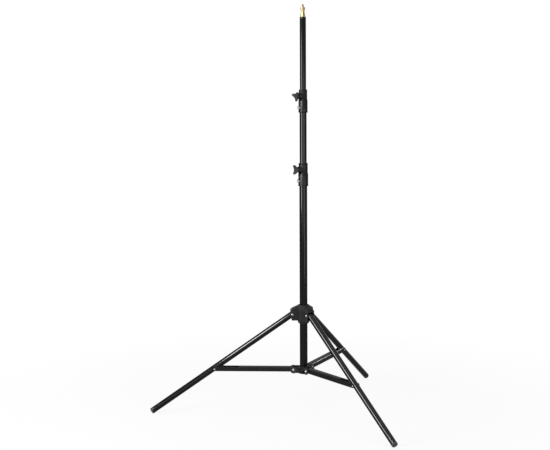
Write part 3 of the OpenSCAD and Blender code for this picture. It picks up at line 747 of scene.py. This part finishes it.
# %% [markdown]
# ## Knobs
#
# A knob is moulded plastic: three soft wings on a flared neck, with a dished face. Seen along its axis
# the outline swells three times in a turn, which a cosine raised to a power gives. The flare is a
# second radius that depends on height, and at each point the lesser of the two wins, softly blended.

# %% Shape of one knob
KNOB_RADIUS, KNOB_CORE = 19.5 * MM, 10.0 * MM
KNOB_HEIGHT, KNOB_DISH = 14.5 * MM, 3.4 * MM
FACE_BALL = 46.7 * MM
WINGS, WING_SHARPNESS = 3, 2.3
RIM_ROUND, RIM_INSET = 1.3 * MM, 0.5 * MM
BLEND = 1.5 * MM
FLARE_HEIGHTS = np.array([0.0, 3.5, 8.5, 10.5]) * MM
FLARE_RADII = np.array([9.0, 9.2, 17.6, 20.5]) * MM
SIDE_ROWS, ROUND_ROWS, FACE_ROWS = 26, 6, 14


def soft_minimum(first, second):
    """The smaller of two arrays, rounded where they are close: their mean less half a smoothed distance."""
    return 0.5 * (first + second - np.sqrt((first - second) ** 2 + BLEND**2))


def face_height(radius):
    """Height of the dished face: its lowest point plus the radius squared over twice the ball's radius."""
    return KNOB_HEIGHT - KNOB_DISH + radius**2 / (2 * FACE_BALL)


def knob_grid():
    """Radius and height of the knob's rows, from the middle of its foot to the middle of its face.

    The side's rows climb to the rim in even shares of its height, each as wide as the lesser of the flare
    and the winged plan. The next turn a quarter circle into the face, whose rows shrink the rim to a point.
    """
    turn = np.arange(COLUMNS)[None, :] * 2 * math.pi / COLUMNS
    plan = KNOB_CORE + (KNOB_RADIUS - KNOB_CORE) * (0.5 + 0.5 * np.cos(WINGS * turn)) ** WING_SHARPNESS
    top = face_height(plan - RIM_INSET - RIM_ROUND)
    share = np.linspace(0.0, 1.0, SIDE_ROWS)[:, None]
    side_height = share * (top - RIM_ROUND)
    side_radius = soft_minimum(np.interp(side_height, FLARE_HEIGHTS, FLARE_RADII), plan)
    last = side_radius[-1:]
    quarter = np.linspace(0.0, math.pi / 2, ROUND_ROWS)[1:, None]
    round_radius = last - RIM_ROUND * (1.0 - np.cos(quarter))
    round_height = side_height[-1:] + (face_height(last - RIM_ROUND) - side_height[-1:]) * np.sin(quarter)
    inward = np.linspace(1.0, 0.0, FACE_ROWS)[1:, None]
    face_radius = inward * (last - RIM_ROUND)
    radius = np.concatenate([np.zeros_like(plan), side_radius, round_radius, face_radius])
    height = np.concatenate([np.zeros_like(plan), side_height, round_height, face_height(face_radius)])
    return radius, height


knob_radius, knob_height = knob_grid()
print("widest reach of a wing in mm:", round(knob_radius.max() / MM, 2))

# %% Three knobs, of which the two on the mast are turned as the photograph shows them
WING_TURN = {"lower_knob": math.radians(90), "upper_knob": math.radians(15), "base_knob": math.radians(60)}


def node_points(node):
    """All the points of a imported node, as an array."""
    mesh = nodes[node].data
    points = np.empty(len(mesh.vertices) * 3)
    mesh.vertices.foreach_get("co", points)
    return points.reshape(-1, 3)


for name, wing_turn in WING_TURN.items():
    joint = joints[name + "_turn"]
    axis = np.array(joint["axis"])
    centre = np.array(joint["pos_m"])
    foot = centre + axis * ((node_points(name) - centre) @ axis).min()
    tangent = np.cross(UP, axis)
    wing = tangent * math.sin(wing_turn) - UP * math.cos(wing_turn)
    dress(turned(name + "_winged", knob_radius, knob_height, foot, axis, wing), name, knob_plastic)

# %% [markdown]
# ## Castings
#
# The shoulder, the hub, the collars and the spigot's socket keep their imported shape. On the real ones
# no edge is sharp: the mould leaves a radius and the coat softens it more, and the line of light along
# an edge is what makes a black casting readable. The hub, the collars and the socket are merged copies
# with a Bevel on their sharp edges. The shoulder is the largest casting, and many of its edges meet at
# one point, where a Bevel makes creases. Its copy is meshed anew on a fine even grid with Remesh and
# then smoothed, so that all its edges soften alike.

# %% Softened copies
FLAT_ANGLE = math.radians(0.4)
SHARP_ANGLE = math.radians(28)
EDGE_ROWS = 4


def node_faces(node):
    """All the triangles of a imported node, as an array of corner numbers."""
    mesh = nodes[node].data
    mesh.calc_loop_triangles()
    corners = np.empty(len(mesh.loop_triangles) * 3, int)
    mesh.loop_triangles.foreach_get("vertices", corners)
    return corners.reshape(-1, 3)


def merged_copy(node, ending):
    """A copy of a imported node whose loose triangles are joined."""
    made = put_mesh(node + ending, node_points(node), node_faces(node))
    close_up(made, FLAT_ANGLE)
    return made


def add_rounding(made, edge):
    """Round the sharp edges of a piece by a width."""
    rounding = made.modifiers.new("rounding", "BEVEL")
    rounding.limit_method = "ANGLE"
    rounding.angle_limit = SHARP_ANGLE
    rounding.width = edge
    rounding.use_clamp_overlap = False
    rounding.segments = EDGE_ROWS
    rounding.harden_normals = True


def softened(node, edge, finish):
    """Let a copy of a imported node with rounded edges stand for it."""
    made = merged_copy(node, "_soft")
    add_rounding(made, edge)
    dress(made, node, finish)


# %% The shoulder, the hub and the collars
CAST_GRID = 0.8 * MM
CAST_ROUNDS, CAST_STEP = 14, 0.5


def cast_smooth(node, finish):
    """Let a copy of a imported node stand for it, meshed anew on a fine grid and smoothed round."""
    made = merged_copy(node, "_cast")
    grid = made.modifiers.new("grid", "REMESH")
    grid.mode = "VOXEL"
    grid.voxel_size = CAST_GRID
    grid.use_smooth_shade = True
    rounding = made.modifiers.new("rounding", "SMOOTH")
    rounding.factor = CAST_STEP
    rounding.iterations = CAST_ROUNDS
    dress(made, node, finish)


cast_smooth("shoulder", powder_coat)
CASTINGS = {
    "brace_hub": (0.8 * MM, powder_coat),
    "lower_collar": (0.5 * MM, collar_gloss),
    "upper_collar": (0.5 * MM, collar_gloss),
    "spigot_socket": (0.6 * MM, collar_gloss),
}
for name, (edge, finish) in CASTINGS.items():
    softened(name, edge, finish)

# %% [markdown]
# ## Braces
#
# A brace is a strip of sheet bent into a channel. Its two long bends have a real radius, many times
# that of its cut edges, and that is where it catches the light. A Bevel would stop where the sheet is
# thinner than the radius, so each corner is planed instead, as a joiner rounds a board: a row of flat
# cuts, each turned a little further, that all touch the bend's circle.

# %% Three braces, bent from sheet
BEND_RADIUS = 2.5 * MM
BEND_CUTS = 9
CUT_EDGE = 0.2 * MM
SLIVER = 0.0001 * MM


def plane_off(work, place, normal):
    """Cut away all that lies beyond a plane, and close the cut."""
    cut = {"plane_co": place, "plane_no": normal, "clear_outer": True, "dist": SLIVER}
    bmesh.ops.bisect_plane(work, geom=work.verts[:] + work.edges[:] + work.faces[:], **cut)
    bmesh.ops.holes_fill(work, edges=[edge for edge in work.edges if edge.is_boundary])


def bend_corners(made, side):
    """Plane both long corners of a channel round. The cuts' normal turns from the top towards each side."""
    joint = joints[side + "_brace_fold"]
    pivot, across = np.array(joint["pos_m"]), np.array(joint["axis"])
    rivet = np.mean(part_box(side + "_brace_rivet"), axis=0) - pivot
    top = np.cross(rivet, across)
    top *= np.sign(top[2]) / np.linalg.norm(top)
    points = node_points(side + "_brace") - pivot
    height, half = (points @ top).max(), (points @ across).max()
    work = bmesh.new()
    work.from_mesh(made.data)
    for turn in np.linspace(0.0, math.pi / 2, BEND_CUTS + 2)[1:-1]:
        for flank in (across, -across):
            centre = pivot + top * (height - BEND_RADIUS) + flank * (half - BEND_RADIUS)
            normal = top * math.cos(turn) + flank * math.sin(turn)
            plane_off(work, centre + normal * BEND_RADIUS, normal)
    bmesh.ops.recalc_face_normals(work, faces=work.faces)
    work.to_mesh(made.data)
    work.free()
    shade_smooth(made)


for side in SIDES:
    brace = merged_copy(side + "_brace", "_bent")
    bend_corners(brace, side)
    add_rounding(brace, CUT_EDGE)
    dress(brace, side + "_brace", black_sheet)

# %% [markdown]
# ## Floor, background and light
#
# The picture is a plain cut-out on white. A wide pale floor and a white surround give the same white
# from every side, and the floor keeps a faint shadow under the stand. Black gloss shows mostly what it
# mirrors, so the form of the tubes comes from what stands around them: a strip on each side, and broad
# panels in front, behind and overhead. Three cards besides show only in gloss, and so leave every
# colour as it is written. Two draw the bright streaks along the legs, and the third, linked to the
# braces alone, the line along their bends.

# %% What the eye sees, and what lights the stand
def seen_directly(tree):
    """One for rays from the eye, from a mirror and through glass, and nought for those that carry light."""
    path = add_node(tree, "ShaderNodeLightPath")
    seen = add_node(tree, "ShaderNodeMath", operation="MAXIMUM")
    through = add_node(tree, "ShaderNodeMath", operation="MAXIMUM")
    tree.links.new(path.outputs["Is Camera Ray"], seen.inputs[0])
    tree.links.new(path.outputs["Is Glossy Ray"], seen.inputs[1])
    tree.links.new(seen.outputs["Value"], through.inputs[0])
    tree.links.new(path.outputs["Is Transmission Ray"], through.inputs[1])
    return through.outputs["Value"]


def mix_shaders(tree, factor, first, second, result):
    """Mix two shader outputs into the surface of an output node."""
    mix = add_node(tree, "ShaderNodeMixShader")
    tree.links.new(factor, mix.inputs["Fac"])
    tree.links.new(first, mix.inputs[1])
    tree.links.new(second, mix.inputs[2])
    tree.links.new(mix.outputs["Shader"], result.inputs["Surface"])


# %% The floor: white paint, with a white glow to the eye that fades near the stand
FLOOR_RADIUS = 40.0
FLOOR_WHITE = 0.9
NEAR_GLOW = 0.9
NEAR_RADIUS = 0.6
FAR_RADIUS = 1.4


def make_floor_paint():
    """Mix white paint with a white glow. The glow's share grows with the distance from the mast."""
    material = bpy.data.materials.new("floor_paint")
    material.use_nodes = True
    tree = material.node_tree
    tree.nodes.clear()
    paint = add_node(tree, "ShaderNodeBsdfDiffuse", inputs={"Color": (*grey(FLOOR_WHITE), 1.0)})
    glow = add_node(tree, "ShaderNodeEmission", inputs={"Strength": 1.0})
    distance = add_node(tree, "ShaderNodeVectorMath", operation="LENGTH")
    tree.links.new(object_coordinates(tree), distance.inputs[0])
    nearby = to_range(tree, distance.outputs["Value"], NEAR_GLOW, 1.0, NEAR_RADIUS, FAR_RADIUS)
    share = add_node(tree, "ShaderNodeMath", operation="MULTIPLY")
    tree.links.new(seen_directly(tree), share.inputs[0])
    tree.links.new(nearby, share.inputs[1])
    result = add_node(tree, "ShaderNodeOutputMaterial")
    mix_shaders(tree, share.outputs["Value"], paint.outputs["BSDF"], glow.outputs["Emission"], result)
    return material


floor = turned("floor", [0.0, FLOOR_RADIUS], [0.0, 0.0], np.zeros(3), UP, ALONG_X)
floor.data.materials.append(make_floor_paint())
print("floor across in metres:", 2 * FLOOR_RADIUS)

# %% The surround: white to the eye, dim as a light
ROOM_LIGHT = 0.2


def make_surround():
    """A world whose light is dim grey, and which the eye and mirrors see as white."""
    world = bpy.data.worlds.new("surround")
    world.use_nodes = True
    tree = world.node_tree
    tree.nodes.clear()
    dim = add_node(tree, "ShaderNodeBackground", inputs={"Strength": ROOM_LIGHT})
    white = add_node(tree, "ShaderNodeBackground", inputs={"Strength": 1.0})
    for shade in (dim, white):
        shade.inputs["Color"].default_value = (1.0, 1.0, 1.0, 1.0)
    result = add_node(tree, "ShaderNodeOutputWorld")
    mix_shaders(tree, seen_directly(tree), dim.outputs["Background"], white.outputs["Background"], result)
    return world


scene.world = make_surround()
print("room light:", ROOM_LIGHT)

# %% Lamps
def add_panel(name, place, target, size, power, roll=0.0, mirrored_only=False):
    """Place an area lamp, turn it towards a point and roll it. A mirrored one shows only in gloss."""
    data = bpy.data.lights.new(name, "AREA")
    data.shape = "RECTANGLE"
    data.size, data.size_y = size
    data.energy = power
    lamp = bpy.data.objects.new(name, data)
    aim = (Vector(target) - Vector(place)).to_track_quat("-Z", "Y").to_matrix().to_4x4()
    lamp.matrix_world = Matrix.Translation(place) @ aim @ Matrix.Rotation(math.radians(roll), 4, "Z")
    lamp.visible_diffuse = not mirrored_only
    scene.collection.objects.link(lamp)
    print(name, "watts:", power)
    return lamp


add_panel("left_strip", (-2.1, -1.36, 0.87), (0.0, 0.0, 0.87), (0.6, 0.9), power=50.0)
add_panel("right_strip", (1.43, -2.05, 0.6), (0.0, 0.0, 0.6), (0.5, 1.1), power=12.0)
add_panel("front_panel", (-0.5, -2.95, 0.7), (0.0, 0.0, 0.7), (3.3, 1.0), power=14.5)
add_panel("front_core", (-0.45, -2.9, 0.75), (0.0, 0.0, 0.75), (2.4, 0.5), power=7.0)
add_panel("back_panel", (2.2, 2.0, 1.1), (0.0, 0.0, 0.5), (1.4, 1.4), power=18.0)
add_panel("top_panel", (-0.2, -0.3, 3.2), (0.0, 0.0, 0.3), (2.6, 2.6), power=30.0)

# %% Cards for the streaks along the legs and the braces
high_left = {"place": (-4.45, -1.0, 2.56), "target": (-1.05, 0.35, -0.74), "size": (1.0, 1.6)}
upper_front = {"place": (-1.66, -1.63, 1.92), "target": (-0.21, 0.22, 0.47), "size": (0.9, 0.4)}
behind = {"place": (1.75, 1.75, 1.36), "target": (0.1, 0.15, 0.16), "size": (0.6, 0.6)}
add_panel("high_left_panel", **high_left, power=210.0, roll=-30.0, mirrored_only=True)
add_panel("upper_front_panel", **upper_front, power=85.0, roll=-41.0, mirrored_only=True)
back_card = add_panel("back_card", **behind, power=230.0, mirrored_only=True)
bent_sheet = bpy.data.collections.new("bent_sheet")
for side in SIDES:
    bent_sheet.objects.link(bpy.data.objects[side + "_brace_bent"])
back_card.light_linking.receiver_collection = bent_sheet
